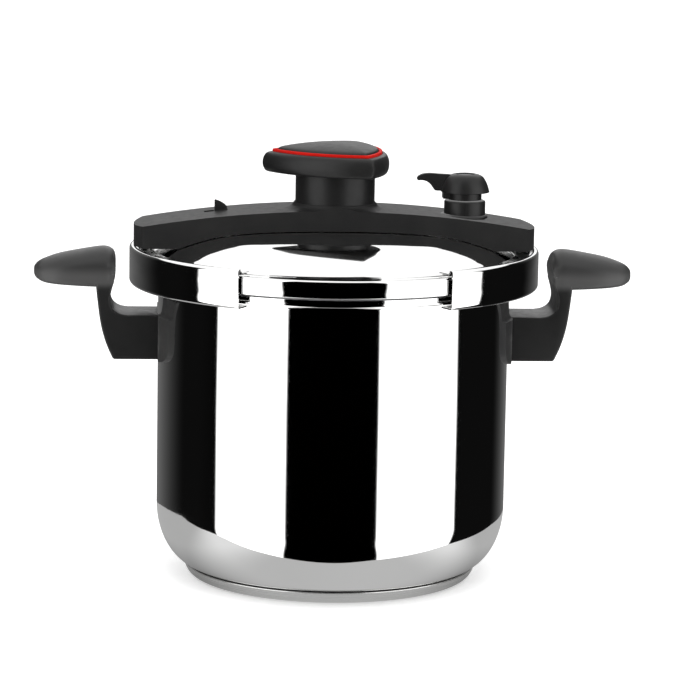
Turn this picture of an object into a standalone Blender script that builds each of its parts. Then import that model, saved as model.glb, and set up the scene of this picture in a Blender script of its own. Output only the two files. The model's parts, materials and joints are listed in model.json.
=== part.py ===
"""Two-jaw quick-close pressure cooker, modelled as separate pieces.

Metres, +Z up.  The pot's axis is Z, its foot stands on Z = 0, and the side
handles, the bridge and the travel of both jaws lie along X.  The front is -Y.
"""
import math

import bpy
import bmesh

OBJECT_NAME = "pressure_cooker"
GAP = 0.0003            # clearance between pieces that touch
STEPS = 40              # facets round the pot's axis
SMALL_STEPS = 20        # facets round the small turned pieces

# Pot
WALL_R = 0.11075        # outside of the cylindrical wall
WALL_T = 0.0008
CORNER_A = 0.026        # half axes of the lower corner's ellipse
CORNER_B = 0.039
CORNER_Z = 0.046        # height where the straight wall begins
RIM_R = 0.1203
RIM_Z = (0.1887, 0.1949)

# Sandwich base
BASE_R = 0.0926
BASE_TOP = 0.0079
BASE_FLAT_R = 0.0850
CORE_TOP = CORNER_Z - CORNER_B - GAP

# Lid
LID_T = 0.0012
SKIRT_R = 0.1256
SKIRT_Z = 0.1956
FLANGE_Z = 0.2063
DOME = [(0.035, 0.2221), (0.060, 0.2207), (0.075, 0.2189), (0.085, 0.2165),
        (0.095, 0.2133), (0.106, 0.2092)]
DOME_TOP = 0.2225

# Jaws
JAW_R = 0.1290
JAW_T = 0.0015
JAW_BEND = 0.0026
JAW_Z = (0.1868, 0.2107)
JAW_LIP_Z = 0.2085      # top of the lip that bears on the lid
JAW_STEP_R = (0.1232, 0.1250)     # where the lip steps up to the raised edge
JAW_LIP_TOP_R = 0.1140
JAW_LIP_LOW_R = 0.1170
JAW_HALF_ANGLE = math.radians(60)

# Bridge across the lid
BRIDGE_HALF_W = 0.0260
BRIDGE_HALF_L = 0.1264
BRIDGE_CORNER_X = 0.1205
BRIDGE_TOP = 0.2353
BRIDGE_ARCH_R = 0.700
BRIDGE_LOW = 0.2110
BRIDGE_TOP_T = 0.0025
BRIDGE_SIDE_T = 0.0018

# Knob
STEM_R = 0.0250
STEM_Z = (0.2320, 0.2575)
HEAD_Z = (0.2570, 0.2704)
HEAD_CORNER_R = 0.0462
HEAD_CORNERS = (177, 297, 57)     # bearings of the head's three corners
CORNER_TRIM = 1.2       # degrees taken off each side's arc to blunt the corners
CAP_TOP = 0.2761
RING_W = 0.0034         # of the red ring, along the line to a corner
SPINDLE_R = 0.0050
CAM_Z = (0.2274, 0.2294)
CAM_R = 0.0230
CAM_TURN = math.radians(90)
PIN_CLOSED_R = 0.0100
JAW_TRAVEL = 0.0075
PIN_R = 0.0025
ARM_Z = (0.2250, 0.2268)

# Pressure regulator and the devices on the lid
VALVE_XY = (0.0813, -0.0080)
LOCK_XY = (-0.0805, 0.0080)
SAFETY_XY = (-0.0500, 0.0170)
FIN_XY = (-0.0716, 0.0070)

# Side handles
HANDLE_HALF_W = 0.0200
HANDLE_ROOT_R = 0.1121   # the handle's root wraps the wall behind its saddle
CROWN_Z = 0.2003
SCREW_X = 0.1220
TAB_Z = (0.1500, 0.1515)
TIP_START_X = 0.1540    # where the grip's sides begin to round
TIP_LENGTH = 0.0347
TIP_POWER = 0.76
SADDLE_TOP = 0.1683
HORN_R = 0.1126        # outside of the saddle's upper horns

for old in list(bpy.data.objects):
    bpy.data.objects.remove(old, do_unlink=True)

parts = bpy.data.collections.new(OBJECT_NAME)
cutters = bpy.data.collections.new("cutters")
for collection in (parts, cutters):
    bpy.context.scene.collection.children.link(collection)


# ---------------------------------------------------------------- materials
def material(name, colour, roughness, metallic=0.0):
    made = bpy.data.materials.new(name)
    made.use_nodes = True
    shader = made.node_tree.nodes["Principled BSDF"]
    shader.inputs["Base Color"].default_value = (*colour, 1.0)
    shader.inputs["Roughness"].default_value = roughness
    shader.inputs["Metallic"].default_value = metallic
    made.diffuse_color = (*colour, 1.0)
    return made


POLISHED = material("polished_steel", (0.80, 0.80, 0.79), 0.06, 1.0)
BRUSHED = material("brushed_steel", (0.68, 0.68, 0.67), 0.30, 1.0)
ALUMINIUM = material("aluminium", (0.72, 0.73, 0.74), 0.45, 1.0)
PLASTIC = material("black_plastic", (0.022, 0.022, 0.023), 0.42)
CAP_PLASTIC = material("grey_black_plastic", (0.050, 0.050, 0.052), 0.50)
RED = material("red_trim", (0.62, 0.012, 0.008), 0.35)
RUBBER = material("silicone_rubber", (0.30, 0.30, 0.31), 0.70)
BRASS = material("brass", (0.72, 0.53, 0.24), 0.32, 1.0)


# ------------------------------------------------------------------ helpers
def finish(obj, coat, smooth_angle=35):
    """Give a piece its material and smooth shading."""
    obj.data.materials.clear()
    obj.data.materials.append(coat)
    obj.data.shade_smooth()
    obj.data.set_sharp_from_angle(angle=math.radians(smooth_angle))
    return obj


def new_object(name, mesh, collection=parts):
    obj = bpy.data.objects.new(name, mesh)
    collection.objects.link(obj)
    if collection is cutters:
        obj.hide_render = True
        obj.display_type = "WIRE"
    return obj


def evaluated_mesh(obj):
    graph = bpy.context.evaluated_depsgraph_get()
    return bpy.data.meshes.new_from_object(obj.evaluated_get(graph))


def baked(obj):
    """Apply the modifiers of an object by swapping in its evaluated mesh."""
    bpy.context.view_layer.update()
    mesh = evaluated_mesh(obj)
    obj.modifiers.clear()
    obj.data = mesh
    return obj


def turned(name, profile, closed=False, steps=STEPS, centre=(0.0, 0.0), collection=parts):
    """Turn a profile of (radius, height) points, listed down the outer side."""
    mesh = bpy.data.meshes.new(name)
    last = len(profile) if closed else len(profile) - 1
    edges = [(i, (i + 1) % len(profile)) for i in range(last)]
    edges = [(i, j) for i, j in edges if profile[i][0] > 0.0 or profile[j][0] > 0.0]
    mesh.from_pydata([(r, 0.0, z) for r, z in profile], edges, [])
    obj = new_object(name, mesh, collection)
    screw = obj.modifiers.new("turn", "SCREW")
    screw.steps = steps
    screw.render_steps = steps
    screw.use_merge_vertices = True
    screw.merge_threshold = 0.00002
    baked(obj)
    obj.location = (centre[0], centre[1], 0.0)
    return obj


def disc(name, radius, z, centre=(0.0, 0.0), steps=SMALL_STEPS, collection=parts):
    """A plain turned disc or pin between two heights."""
    low, high = z
    profile = [(0.0, high), (radius, high), (radius, low), (0.0, low)]
    return turned(name, profile, steps=steps, centre=centre, collection=collection)


def ring(name, inner, outer, z, centre=(0.0, 0.0), steps=SMALL_STEPS, collection=parts):
    low, high = z
    profile = [(inner, high), (outer, high), (outer, low), (inner, low)]
    return turned(name, profile, True, steps, centre, collection)


def plate(name, outline, low, high, facing="Z", collection=parts):
    """Extrude a flat closed outline between two distances along an axis.

    facing "Z" reads the outline as (x, y), "Y" as (x, z) and "X" as (y, z).
    """
    curve = bpy.data.curves.new(name, "CURVE")
    curve.dimensions = "2D"
    curve.fill_mode = "BOTH"
    curve.extrude = (high - low) / 2
    spline = curve.splines.new("POLY")
    spline.points.add(len(outline) - 1)
    for point, (u, v) in zip(spline.points, outline):
        point.co = (u, v, 0.0, 1.0)
    spline.use_cyclic_u = True
    source = bpy.data.objects.new(name + "_outline", curve)
    bpy.context.scene.collection.objects.link(source)
    bpy.context.view_layer.update()
    mesh = evaluated_mesh(source)
    bpy.data.objects.remove(source, do_unlink=True)
    middle = (low + high) / 2
    for vertex in mesh.vertices:
        u, v, w = vertex.co
        if facing == "Z":
            vertex.co = (u, v, w + middle)
        elif facing == "Y":
            vertex.co = (u, middle - w, v)
        else:
            vertex.co = (w + middle, u, v)
    shape = bmesh.new()
    shape.from_mesh(mesh)
    bmesh.ops.remove_doubles(shape, verts=shape.verts, dist=0.00001)
    bmesh.ops.recalc_face_normals(shape, faces=shape.faces)
    shape.to_mesh(mesh)
    shape.free()
    return new_object(name, mesh, collection)


def box(name, x, y, z, collection=parts):
    return plate(name, [(x[0], y[0]), (x[1], y[0]), (x[1], y[1]), (x[0], y[1])],
                 z[0], z[1], "Z", collection)


def combine(obj, other, operation="DIFFERENCE"):
    """Apply one exact Boolean and drop the tool that made it."""
    modifier = obj.modifiers.new("cut", "BOOLEAN")
    modifier.operation = operation
    modifier.solver = "EXACT"
    modifier.object = other
    baked(obj)
    bpy.data.objects.remove(other, do_unlink=True)
    return welded(obj)


def welded(obj, distance=0.000004):
    """Drop the slivers that a Boolean leaves behind."""
    shape = bmesh.new()
    shape.from_mesh(obj.data)
    bmesh.ops.remove_doubles(shape, verts=shape.verts, dist=distance)
    bmesh.ops.dissolve_degenerate(shape, edges=shape.edges, dist=distance)
    shape.to_mesh(obj.data)
    shape.free()
    return obj


def soften(obj, width, segments=2, angle=38):
    modifier = obj.modifiers.new("edges", "BEVEL")
    modifier.width = width
    modifier.segments = segments
    modifier.limit_method = "ANGLE"
    modifier.angle_limit = math.radians(angle)
    modifier.use_clamp_overlap = True
    return baked(obj)


def arc(cx, cy, radius, start, end, count):
    """Points of an arc in degrees, both ends included."""
    turns = [math.radians(start + (end - start) * i / (count - 1)) for i in range(count)]
    return [(cx + radius * math.cos(t), cy + radius * math.sin(t)) for t in turns]


def moved(obj, place):
    """Shift a mesh sideways inside its object."""
    for vertex in obj.data.vertices:
        vertex.co.x += place[0]
        vertex.co.y += place[1]
    return obj


def half_turned(obj):
    """Turn a mesh 180 degrees about Z, which makes a right piece a left one."""
    for vertex in obj.data.vertices:
        vertex.co.x = -vertex.co.x
        vertex.co.y = -vertex.co.y
    return obj


# ---------------------------------------------------------------------- pot
def corner_curve(a, b, flat_z, count):
    """The pot's lower corner, from the straight wall to the flat bottom."""
    centre_r = WALL_R - CORNER_A
    points = []
    for i in range(count):
        t = math.radians(90 * i / (count - 1))
        points.append((centre_r + a * math.cos(t), CORNER_Z - b * math.sin(t)))
    return points + [(0.0, flat_z)]


def make_pot():
    low, high = RIM_Z
    outer = [(0.1120, high), (0.1190, high), (RIM_R, high - 0.0014), (RIM_R, low + 0.0016),
             (0.1186, low), (0.1135, low), (WALL_R, low - 0.0030)]
    outer += corner_curve(CORNER_A, CORNER_B, CORNER_Z - CORNER_B, 7)
    inner = corner_curve(CORNER_A - WALL_T, CORNER_B - WALL_T,
                         CORNER_Z - CORNER_B + WALL_T, 7)
    inner_rim = [(WALL_R - WALL_T, high - 0.0022)]
    profile = outer + list(reversed(inner)) + inner_rim
    finish(turned("pot_body", profile, True), POLISHED, 40)


def make_base():
    finish(disc("base_core", BASE_R - 0.0046, (0.0010 + GAP, CORE_TOP), steps=STEPS), ALUMINIUM)
    outer = [(BASE_R - 0.0004, BASE_TOP), (BASE_R, BASE_TOP - 0.0004), (0.0918, 0.0048)]
    outer += [(0.0898, 0.0020), (0.0872, 0.0005), (BASE_FLAT_R, 0.0), (0.0, 0.0)]
    inner = [(0.0, 0.0010), (BASE_R - 0.0042, 0.0010), (0.0901, 0.0024), (BASE_R - 0.0022, 0.0062)]
    inner += [(BASE_R - 0.0010, BASE_TOP)]
    finish(turned("base_cap", outer + inner, True), BRUSHED, 40)


# ---------------------------------------------------------------------- lid
def dome_profile(offset):
    """The lid's outer line from the centre to the top of its skirt."""
    points = [(0.0, DOME_TOP + offset)]
    points += [(r, z + offset) for r, z in DOME]
    return points + [(0.1140, FLANGE_Z + 0.0003 + offset), (0.1215, FLANGE_Z + offset)]


def make_lid():
    outer = dome_profile(0.0)
    outer += arc(SKIRT_R - 0.0036, FLANGE_Z - 0.0036, 0.0036, 65, 0, 4)
    outer += [(SKIRT_R, SKIRT_Z)]
    inner = [(SKIRT_R - LID_T, SKIRT_Z), (SKIRT_R - LID_T, FLANGE_Z - 0.0036)]
    inner += [(SKIRT_R - 0.0030, FLANGE_Z - LID_T)]
    inner += list(reversed(dome_profile(-LID_T)))[1:]
    lid = turned("lid_shell", outer + inner)
    holes = [(VALVE_XY, 0.0043), (LOCK_XY, 0.0028), (SAFETY_XY, 0.0043)]
    for index, (place, radius) in enumerate(holes):
        combine(lid, disc("hole_%d" % index, radius, (0.20, 0.23), place, 16, cutters))
    finish(lid, POLISHED, 40)
    z = RIM_Z[1] + GAP
    top = FLANGE_Z - LID_T - GAP
    section = [(0.1128, top), (0.1216, top), (0.1216, z + 0.0034), (0.1190, z), (0.1128, z),
               (0.1128, z + 0.0020), (0.1172, z + 0.0020), (0.1172, z + 0.0058),
               (0.1128, z + 0.0058)]
    finish(turned("gasket", section, True), RUBBER)


# --------------------------------------------------------------------- jaws
def c_section():
    """Outline of a jaw's C section, down its outer side and back inside."""
    low, high = JAW_Z
    bend = JAW_BEND
    inside = bend - JAW_T
    step_in, step_out = JAW_STEP_R
    points = [(JAW_LIP_TOP_R, JAW_LIP_Z), (step_in, JAW_LIP_Z), (step_out, high)]
    points += arc(JAW_R - bend, high - bend, bend, 90, 0, 4)
    points += arc(JAW_R - bend, low + bend, bend, 0, -90, 4)
    points += [(JAW_LIP_LOW_R, low), (JAW_LIP_LOW_R, low + JAW_T)]
    points += arc(JAW_R - bend, low + bend, inside, -90, 0, 3)
    points += arc(JAW_R - bend, high - bend, inside, 0, 90, 3)
    points += [(step_out + 0.0007, high - JAW_T), (step_in + 0.0007, JAW_LIP_Z - JAW_T)]
    return points + [(JAW_LIP_TOP_R, JAW_LIP_Z - JAW_T)]


def wedge(half_angle, reach, z):
    """A sector about +X that keeps one jaw's share of a full ring."""
    outline = [(0.0, 0.0)] + arc(0.0, 0.0, reach, -math.degrees(half_angle),
                                 math.degrees(half_angle), 9)
    return plate("sector", outline, z[0], z[1], "Z", cutters)


def arm_line(offset):
    """Upper line of the arm, bent down from the bridge to the jaw's lip."""
    return [(0.0070, ARM_Z[1] + offset), (0.0715, ARM_Z[1] + offset),
            (0.1120, 0.2106 + offset), (0.1215, 0.2106 + offset)]


def make_jaw(side, turn):
    jaw = turned("jaw_" + side, c_section(), True)
    combine(jaw, wedge(JAW_HALF_ANGLE, 0.30, (0.17, 0.22)), "INTERSECT")
    finish(turn(jaw), POLISHED, 40)
    thickness = ARM_Z[1] - ARM_Z[0]
    outline = arm_line(0.0) + list(reversed(arm_line(-thickness)))
    arm = plate("jaw_arm_" + side, outline, -0.0105, 0.0105, "Y")
    combine(arm, box("notch", (0.0690, 0.0885), (-0.0200, -0.0022), (0.20, 0.24), cutters))
    for index, place in enumerate([(0.1170, -0.0060), (0.1170, 0.0060)]):
        combine(arm, disc("rivet_hole", 0.0023, (0.19, 0.24), place, 12, cutters))
        combine(jaw, turn(moved(disc("rivet_hole", 0.0023, (0.2050, 0.2100), steps=12,
                                     collection=cutters), place)))
        rivet = turned("jaw_rivet_%s_%d" % (side, index + 1),
                       [(0.0, 0.2108), (0.0016, 0.2108), (0.0020, 0.2105),
                        (0.0020, 0.2067), (0.0, 0.2067)], steps=12)
        finish(turn(moved(rivet, place)), BRUSHED)
    finish(turn(arm), BRUSHED)
    pin = turned("cam_pin_" + side, [(0.0, 0.2304), (PIN_R, 0.2301), (PIN_R, ARM_Z[1] + GAP),
                                     (0.0, ARM_Z[1] + GAP)], steps=16)
    finish(turn(moved(pin, (PIN_CLOSED_R, 0.0))), BRUSHED)


# ------------------------------------------------------------------- bridge
def arch(half_length, drop, low, count):
    """Side outline of the bridge: an arched top over a level bottom."""
    points = [(half_length, low), (-half_length, low)]
    for i in range(count):
        x = -half_length + 2 * half_length * i / (count - 1)
        points.append((x, BRIDGE_TOP - drop - x * x / (2 * BRIDGE_ARCH_R)))
    return points


def bridge_plan(inset):
    """Top outline of the bridge: straight sides and bowed ends."""
    half_w = BRIDGE_HALF_W - inset
    corner = BRIDGE_CORNER_X - inset
    bow = BRIDGE_HALF_L - BRIDGE_CORNER_X
    radius = (half_w ** 2 + bow ** 2) / (2 * bow)
    sweep = math.degrees(math.asin(half_w / radius))
    centre = corner + bow - radius
    right = arc(centre, 0.0, radius, -sweep, sweep, 7)
    left = [(-x, -y) for x, y in right]
    return right + left


def make_bridge():
    low = 0.2060
    cover = plate("bridge_cover", arch(0.1300, 0.0, low, 25), -0.04, 0.04, "Y")
    combine(cover, plate("plan", bridge_plan(0.0), 0.20, 0.25, "Z", cutters), "INTERSECT")
    soften(cover, 0.0018, 2, 50)
    collar = turned("collar", [(0.0, 0.2387), (0.0258, 0.2387), (0.0263, 0.2376),
                               (0.0273, 0.2365), (0.0293, 0.2354), (0.0330, 0.2344),
                               (0.0330, 0.2300), (0.0, 0.2300)], collection=cutters)
    combine(collar, box("flat", (-0.05, 0.05), (-BRIDGE_HALF_W + 0.0001, BRIDGE_HALF_W - 0.0001),
                        (0.22, 0.25), cutters), "INTERSECT")
    combine(cover, collar, "UNION")
    hollow = plate("hollow", arch(0.1300, BRIDGE_TOP_T, low - 0.001, 25), -0.04, 0.04, "Y", cutters)
    combine(hollow, plate("plan", bridge_plan(BRIDGE_SIDE_T), 0.20, 0.25, "Z", cutters), "INTERSECT")
    combine(cover, hollow)
    under = turned("under_dome", dome_profile(0.0004) + [(0.14, BRIDGE_LOW), (0.14, 0.19),
                                                         (0.0, 0.19)], collection=cutters)
    combine(cover, under)
    combine(cover, box("under", (-0.14, 0.14), (-0.04, 0.04), (0.19, BRIDGE_LOW), cutters))
    combine(cover, disc("stem_hole", STEM_R + GAP, (0.2280, 0.25), steps=STEPS, collection=cutters))
    combine(cover, disc("valve_hole", 0.0090, (0.22, 0.25), VALVE_XY, 20, cutters))
    fin_x, fin_y = FIN_XY
    combine(cover, box("fin_slot", (fin_x - 0.0105, fin_x + 0.0046),
                       (fin_y - 0.0013, fin_y + 0.0013), (0.22, 0.25), cutters))
    combine(cover, box("thumb_slot", (fin_x - 0.0104, fin_x - 0.0044),
                       (fin_y - 0.0032, fin_y + 0.0032), (0.22, 0.25), cutters))
    finish(cover, PLASTIC, 32)


def make_chassis():
    """Steel strip on the dome that carries the spindle and guides the arms."""
    low = DOME_TOP + GAP
    chassis = box("chassis", (-0.0600, 0.0600), (-0.0215, 0.0215), (low, low + 0.0015))
    soften(chassis, 0.0040, 2, 60)
    combine(chassis, disc("spindle_hole", 0.0036, (0.21, 0.24), steps=16, collection=cutters))
    combine(chassis, disc("safety_gap", 0.0062, (0.21, 0.24), SAFETY_XY, 16, cutters))
    for side, x in (("left", -0.0340), ("right", 0.0340)):
        place = (x, -0.0165)
        combine(chassis, disc("stud_hole", 0.0026, (0.21, 0.24), place, 12, cutters))
        finish(disc("lid_stud_" + side, 0.0022, (DOME_TOP + 0.0001, 0.2290), place, 12), BRUSHED)
        nut = ring("stud_nut_" + side, 0.0029, 0.0045, (low + 0.0018, low + 0.0052), place, 6)
        finish(nut, BRUSHED)
    finish(chassis, BRUSHED)


# --------------------------------------------------------------------- knob
def knob_plan(corner_r, count=8):
    """Triangle with bowed sides: each side is an arc about the far corner."""
    side = corner_r * math.sqrt(3)
    corners = [(corner_r * math.cos(math.radians(a)), corner_r * math.sin(math.radians(a)))
               for a in HEAD_CORNERS]
    points = []
    for index, (x, y) in enumerate(corners):
        far_x, far_y = corners[(index + 2) % 3]
        start = math.degrees(math.atan2(y - far_y, x - far_x))
        points += arc(far_x, far_y, side, start + CORNER_TRIM, start + 60 - CORNER_TRIM, count)
    return points


def knob_slab(name, corner_r, z, collection=parts):
    return plate(name, knob_plan(corner_r), z[0], z[1], "Z", collection)


def barrel(name, rings, collection=parts):
    """Loft between the knob's plans of several sizes, lowest first."""
    shape = bmesh.new()
    loops = []
    for corner_r, z in rings:
        loops.append([shape.verts.new((x, y, z)) for x, y in knob_plan(corner_r)])
    for lower, upper in zip(loops, loops[1:]):
        for i in range(len(lower)):
            j = (i + 1) % len(lower)
            shape.faces.new((lower[i], lower[j], upper[j], upper[i]))
    shape.faces.new(list(reversed(loops[0])))
    shape.faces.new(loops[-1])
    mesh = bpy.data.meshes.new(name)
    shape.to_mesh(mesh)
    shape.free()
    return new_object(name, mesh, collection)


def make_knob():
    low, high = HEAD_Z
    wide = HEAD_CORNER_R
    body = barrel("knob_body", [(wide - 0.0028, low), (wide - 0.0008, low + 0.0028),
                                (wide, low + 0.0066), (wide - 0.0016, low + 0.0106),
                                (wide - 0.0050, high)])
    combine(body, disc("stem", STEM_R, STEM_Z, steps=STEPS, collection=cutters), "UNION")
    recess_r = wide - 0.0056
    combine(body, knob_slab("recess", recess_r, (high - 0.0030, high + 0.01), cutters))
    combine(body, disc("spindle_bore", SPINDLE_R + GAP, (0.22, 0.2640), steps=16,
                       collection=cutters))
    finish(body, PLASTIC, 42)
    ring_low = high - 0.0030 + GAP
    trim = knob_slab("knob_trim_ring", recess_r - 2 * GAP, (ring_low, high + 0.0010))
    combine(trim, knob_slab("inside", recess_r - RING_W, (0.26, 0.28), cutters))
    finish(trim, RED)
    cap_r = recess_r - RING_W - 2 * GAP
    cap = barrel("knob_cap", [(cap_r, ring_low), (cap_r, high + 0.0012),
                              (cap_r - 0.0080, high + 0.0036), (cap_r - 0.0180, CAP_TOP - 0.0005),
                              (cap_r - 0.0280, CAP_TOP)])
    finish(cap, CAP_PLASTIC, 42)


def make_drive():
    """Spindle, cam disc with two spiral slots, and the nut under the disc."""
    finish(turned("spindle", [(0.0, 0.2635), (SPINDLE_R, 0.2635), (SPINDLE_R, 0.2250),
                              (0.0033, 0.2250), (0.0033, DOME_TOP + 0.0005),
                              (0.0, DOME_TOP + 0.0005)], steps=16), BRUSHED)
    cam = disc("cam_disc", CAM_R, CAM_Z, steps=32)
    combine(cam, disc("spindle_hole", SPINDLE_R + GAP, (0.22, 0.24), steps=16,
                      collection=cutters))
    for start in (0.0, math.pi):
        combine(cam, plate("slot", spiral_slot(start), 0.22, 0.24, "Z", cutters))
    finish(cam, BRUSHED)
    finish(ring("cam_clip", SPINDLE_R + GAP, 0.0070, (CAM_Z[1] + GAP, CAM_Z[1] + 0.0018),
                steps=16), BRUSHED)


def spiral_slot(start, count=11):
    """Slot whose radius grows in proportion to the angle the knob turns."""
    half = PIN_R + 0.0004
    extra = math.radians(18)
    line = []
    for i in range(count):
        turn = -extra + (CAM_TURN + 2 * extra) * i / (count - 1)
        line.append((PIN_CLOSED_R + JAW_TRAVEL * turn / CAM_TURN, start - turn))
    outer = [((r + half) * math.cos(a), (r + half) * math.sin(a)) for r, a in line]
    inner = [((r - half) * math.cos(a), (r - half) * math.sin(a)) for r, a in line]
    ends = []
    for (r, a), way in ((line[-1], 1.0), (line[0], -1.0)):
        ends.append((r * math.cos(a) + way * half * math.sin(a),
                     r * math.sin(a) - way * half * math.cos(a)))
    return outer + [ends[0]] + list(reversed(inner)) + [ends[1]]


# ---------------------------------------------------------- pressure devices
def make_valve():
    x, y = VALVE_XY
    pipe = turned("steam_pipe", [(0.0014, 0.2440), (0.0034, 0.2440), (0.0040, 0.2420),
                                 (0.0040, 0.2055), (0.0014, 0.2055)], True, 16, VALVE_XY)
    finish(pipe, BRASS)
    finish(ring("pipe_nut", 0.0050, 0.0085, (0.2078, 0.2110), VALVE_XY, 6), BRASS)
    housing = turned("valve_housing", [(0.0046, 0.2412), (0.0118, 0.2412), (0.0130, 0.2402),
                                       (0.0130, 0.2340), (0.0130, 0.2280), (0.0086, 0.2280),
                                       (0.0086, 0.2274), (0.0046, 0.2274)], True, 24, VALVE_XY)
    bridge_top = plate("bridge_top", arch(0.1300, -GAP, 0.2200, 25), -0.04, 0.04, "Y", cutters)
    bore = disc("bore", 0.0088, (0.21, 0.26), VALVE_XY, 24, cutters)
    combine(bridge_top, bore)
    combine(housing, bridge_top)
    finish(housing, PLASTIC)
    cap = turned("regulator_cap", [(0.0, 0.2571), (0.0058, 0.2571), (0.0064, 0.2577),
                                   (0.0086, 0.2573), (0.0108, 0.2562), (0.0126, 0.2540),
                                   (0.0141, 0.2508), (0.0153, 0.2466), (0.0149, 0.2463),
                                   (0.0105, 0.2463), (0.0105, 0.2416), (0.0058, 0.2416),
                                   (0.0058, 0.2480), (0.0, 0.2480)], steps=24, centre=VALVE_XY)
    lever = plate("lever", [(x - 0.0070, 0.2560), (x - 0.0100, 0.2572), (x - 0.0165, 0.2576),
                            (x - 0.0222, 0.2580), (x - 0.0280, 0.2571), (x - 0.0306, 0.2549),
                            (x - 0.0302, 0.2533), (x - 0.0270, 0.2536), (x - 0.0240, 0.2527),
                            (x - 0.0216, 0.2505), (x - 0.0198, 0.2479), (x - 0.0178, 0.2470),
                            (x - 0.0120, 0.2470), (x - 0.0070, 0.2480)],
                  y - 0.0022, y + 0.0022, "Y", cutters)
    combine(cap, lever, "UNION")
    finish(cap, PLASTIC)
    finish(disc("regulator_needle", 0.0030, (0.2443, 0.2476), VALVE_XY, 12), BRUSHED)


def make_lid_devices():
    finish(turned("lock_plunger", [(0.0, 0.2228), (0.0024, 0.2226), (0.0024, 0.2090),
                                   (0.0042, 0.2087), (0.0042, 0.2067), (0.0, 0.2065)],
                  steps=16, centre=LOCK_XY), BRUSHED)
    finish(turned("safety_valve", [(0.0, 0.2292), (0.0036, 0.2290), (0.0056, 0.2276),
                                   (0.0056, 0.2246), (0.0040, 0.2236), (0.0040, 0.2140),
                                   (0.0, 0.2140)], steps=16, centre=SAFETY_XY), BRUSHED)
    finish(ring("safety_nut", 0.0050, 0.0080, (0.2152, 0.2186), SAFETY_XY, 6), BRUSHED)
    x, y = FIN_XY
    fin = plate("indicator_fin", [(x - 0.0040, 0.2272), (x + 0.0041, 0.2272), (x + 0.0041, 0.2342),
                                  (x + 0.0018, 0.2362), (x - 0.0010, 0.2378),
                                  (x - 0.0034, 0.2384), (x - 0.0040, 0.2382)],
                y - 0.0009, y + 0.0009, "Y")
    runner = box("runner", (x - 0.0041, x + 0.0070), (y - 0.0040, y + 0.0040),
                 (0.2270, 0.2278), cutters)
    combine(fin, runner, "UNION")
    finish(fin, PLASTIC)


# ------------------------------------------------------------------ handles
def handle_outline():
    """Side view of the right handle, clockwise from the arm's lower root."""
    arm_bottom = [(0.1020, 0.1401), (0.1388, 0.1401)]
    outer_neck = [(0.1428, 0.1490), (0.1457, 0.1583), (0.1475, 0.1677), (0.1488, 0.1780)]
    under_grip = [(0.1494, 0.1822), (0.1518, 0.1851), (0.1640, 0.1856), (0.1750, 0.1863),
                  (0.1822, 0.1872), (0.1866, 0.1890)]
    tip = [(0.1887, 0.1918), (0.1887, 0.1958), (0.1862, 0.1990), (0.1822, 0.2012)]
    top = [(0.1729, 0.2042), (0.1607, 0.2068), (0.1480, 0.2090), (0.1436, 0.2092)]
    inner = [(0.1398, 0.2072), (0.1380, 0.2030), (0.1376, 0.1970), (0.1385, 0.1890),
             (0.1396, 0.1820), (0.1396, 0.1765), (0.1382, 0.1722), (0.1350, 0.1692),
             (0.1300, 0.1681), (0.1020, 0.1681)]
    return arm_bottom + outer_neck + under_grip + tip + top + inner


def grip_plan(half_w, count=14):
    """Top outline of the handle: straight sides and a squarish rounded tip."""
    points = [(0.09, half_w)]
    for i in range(count + 1):
        turn = math.pi * i / count
        across = math.copysign(abs(math.cos(turn)) ** TIP_POWER, math.cos(turn))
        points.append((TIP_START_X + TIP_LENGTH * math.sin(turn) ** TIP_POWER, half_w * across))
    return points + [(0.09, -half_w)]


def saddle_front():
    """Outline of the saddle seen along X: a low block with two raised horns."""
    side = [(0.0340, 0.1410), (0.0400, 0.1430), (0.0445, 0.1470), (0.0464, 0.1530),
            (0.0468, 0.1640), (0.0478, 0.1710), (0.0496, 0.1762), (0.0520, 0.1815),
            (0.0320, 0.1815), (0.0306, 0.1760), (0.0276, 0.1712), (0.0220, SADDLE_TOP)]
    return side + [(-y, z) for y, z in reversed(side)]


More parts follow.
